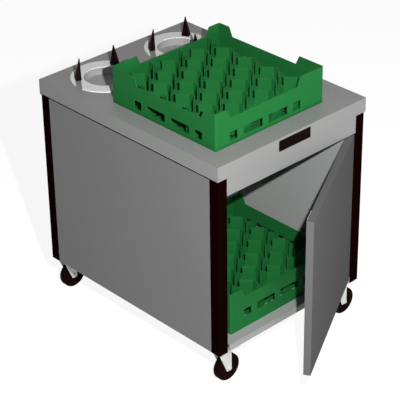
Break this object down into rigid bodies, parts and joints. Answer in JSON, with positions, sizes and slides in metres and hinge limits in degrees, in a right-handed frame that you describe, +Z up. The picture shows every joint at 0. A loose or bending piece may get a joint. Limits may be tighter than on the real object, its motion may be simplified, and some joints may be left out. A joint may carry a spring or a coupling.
{
  "type": "cup rack dispenser cart",
  "caption": "Mobile steel cabinet that lifts a dishwashing rack through its counter, with sprung cup wells behind, a hinged door below and swivel casters.",
  "frame": {"origin": "on the floor, under the middle of the box round the whole part with its door at 30 degrees", "axes": "+X to the right along the front, +Y from the door to the back, +Z up"},
  "size_m": [0.707, 1.21, 1.007],
  "materials": {
    "stainless": "satin brushed",
    "bright_steel": "plated",
    "black_steel": "satin black",
    "green_plastic": "moulded",
    "white_ring": "smooth white",
    "black_plastic": "moulded",
    "tread": "matte",
    "spring_steel": "wire",
    "name_plate": "bare"
  },
  "bodies": {
    "cabinet": {"base_frame": "stainless", "bulkhead": "stainless", "caster_bolts": "bright_steel", "caster_plates": "bright_steel", "counter_top": "stainless", "cup_guides_left": "black_plastic", "cup_guides_right": "black_plastic", "cup_ring_left": "white_ring", "cup_ring_right": "white_ring", "cup_spring_left": "spring_steel", "cup_spring_right": "spring_steel", "cup_tube_left": "stainless", "cup_tube_right": "stainless", "door_magnet": "black_plastic", "floor_pan": "stainless", "front_apron": "stainless", "hinge_frame_leaves": "stainless", "hinge_pins": "bright_steel", "liner_left": "stainless", "liner_right": "stainless", "lower_rack_dividers": "green_plastic", "lower_rack_floor": "green_plastic", "lower_rack_walls": "green_plastic", "name_plate": "name_plate", "panel_left": "stainless", "panel_rear": "stainless", "panel_right": "stainless", "panel_screws": "bright_steel", "post_front_left": "black_steel", "post_front_right": "black_steel", "post_rear_left": "black_steel", "post_rear_right": "black_steel", "post_top_plates": "stainless", "rack_guide_rods": "bright_steel", "rack_rod_blocks": "stainless", "rack_spring_anchor": "stainless", "rack_springs": "spring_steel"},
    "door": {"door_outer_skin": "stainless", "door_inner_pan": "stainless", "hinge_door_leaves": "stainless", "door_strike": "stainless"},
    "rack_lift": {"rack_platform": "stainless", "rack_carriage": "stainless"},
    "upper_rack": {"upper_rack_walls": "green_plastic", "upper_rack_floor": "green_plastic", "upper_rack_dividers": "green_plastic"},
    "cup_carrier_left": {"cup_carrier_left": "stainless"},
    "cup_carrier_right": {"cup_carrier_right": "stainless"},
    "caster_front_left": {"caster_fork_front_left": "bright_steel", "caster_axle_front_left": "bright_steel"},
    "wheel_front_left": {"caster_wheel_front_left": "tread"},
    "caster_front_right": {"caster_fork_front_right": "bright_steel", "caster_axle_front_right": "bright_steel"},
    "wheel_front_right": {"caster_wheel_front_right": "tread"},
    "caster_rear_left": {"caster_fork_rear_left": "bright_steel", "caster_axle_rear_left": "bright_steel"},
    "wheel_rear_left": {"caster_wheel_rear_left": "tread"},
    "caster_rear_right": {"caster_fork_rear_right": "bright_steel", "caster_axle_rear_right": "bright_steel"},
    "wheel_rear_right": {"caster_wheel_rear_right": "tread"}
  },
  "joints": [
    {"name": "door_hinge", "type": "hinge", "parent": "cabinet", "child": "door", "pos_m": [0.306, -0.30311, 0.4425], "axis": [0, 0, 1], "range_deg": [-30, 80]},
    {"name": "rack_lift_slide", "type": "slide", "parent": "cabinet", "child": "rack_lift", "axis": [0, 0, -1], "range_m": [0, 0.25], "stiffness_N_per_m": 260, "springref_m": -0.75, "deforming": ["rack_springs"]},
    {"name": "upper_rack_lift_off", "type": "slide", "parent": "rack_lift", "child": "upper_rack", "axis": [0, 0, 1], "range_m": [0, 0.15]},
    {"name": "cup_carrier_left_slide", "type": "slide", "parent": "cabinet", "child": "cup_carrier_left", "axis": [0, 0, -1], "range_m": [0, 0.25], "stiffness_N_per_m": 180, "springref_m": -0.15, "deforming": ["cup_spring_left"]},
    {"name": "cup_carrier_right_slide", "type": "slide", "parent": "cabinet", "child": "cup_carrier_right", "axis": [0, 0, -1], "range_m": [0, 0.25], "stiffness_N_per_m": 180, "springref_m": -0.15, "deforming": ["cup_spring_right"]},
    {"name": "swivel_front_left", "type": "hinge", "parent": "cabinet", "child": "caster_front_left", "pos_m": [-0.2945, -0.26651, 0.1247], "axis": [0, 0, 1], "continuous": true},
    {"name": "spin_front_left", "type": "hinge", "parent": "caster_front_left", "child": "wheel_front_left", "pos_m": [-0.2865, -0.26651, 0.051], "axis": [0, 1, 0], "continuous": true},
    {"name": "swivel_front_right", "type": "hinge", "parent": "cabinet", "child": "caster_front_right", "pos_m": [0.2945, -0.26651, 0.1247], "axis": [0, 0, 1], "continuous": true},
    {"name": "spin_front_right", "type": "hinge", "parent": "caster_front_right", "child": "wheel_front_right", "pos_m": [0.3025, -0.26651, 0.051], "axis": [0, 1, 0], "continuous": true},
    {"name": "swivel_rear_left", "type": "hinge", "parent": "cabinet", "child": "caster_rear_left", "pos_m": [-0.2945, 0.56849, 0.1247], "axis": [0, 0, 1], "continuous": true},
    {"name": "spin_rear_left", "type": "hinge", "parent": "caster_rear_left", "child": "wheel_rear_left", "pos_m": [-0.2865, 0.56849, 0.051], "axis": [0, 1, 0], "continuous": true},
    {"name": "swivel_rear_right", "type": "hinge", "parent": "cabinet", "child": "caster_rear_right", "pos_m": [0.2945, 0.56849, 0.1247], "axis": [0, 0, 1], "continuous": true},
    {"name": "spin_rear_right", "type": "hinge", "parent": "caster_rear_right", "child": "wheel_rear_right", "pos_m": [0.3025, 0.56849, 0.051], "axis": [0, 1, 0], "continuous": true}
  ]
}
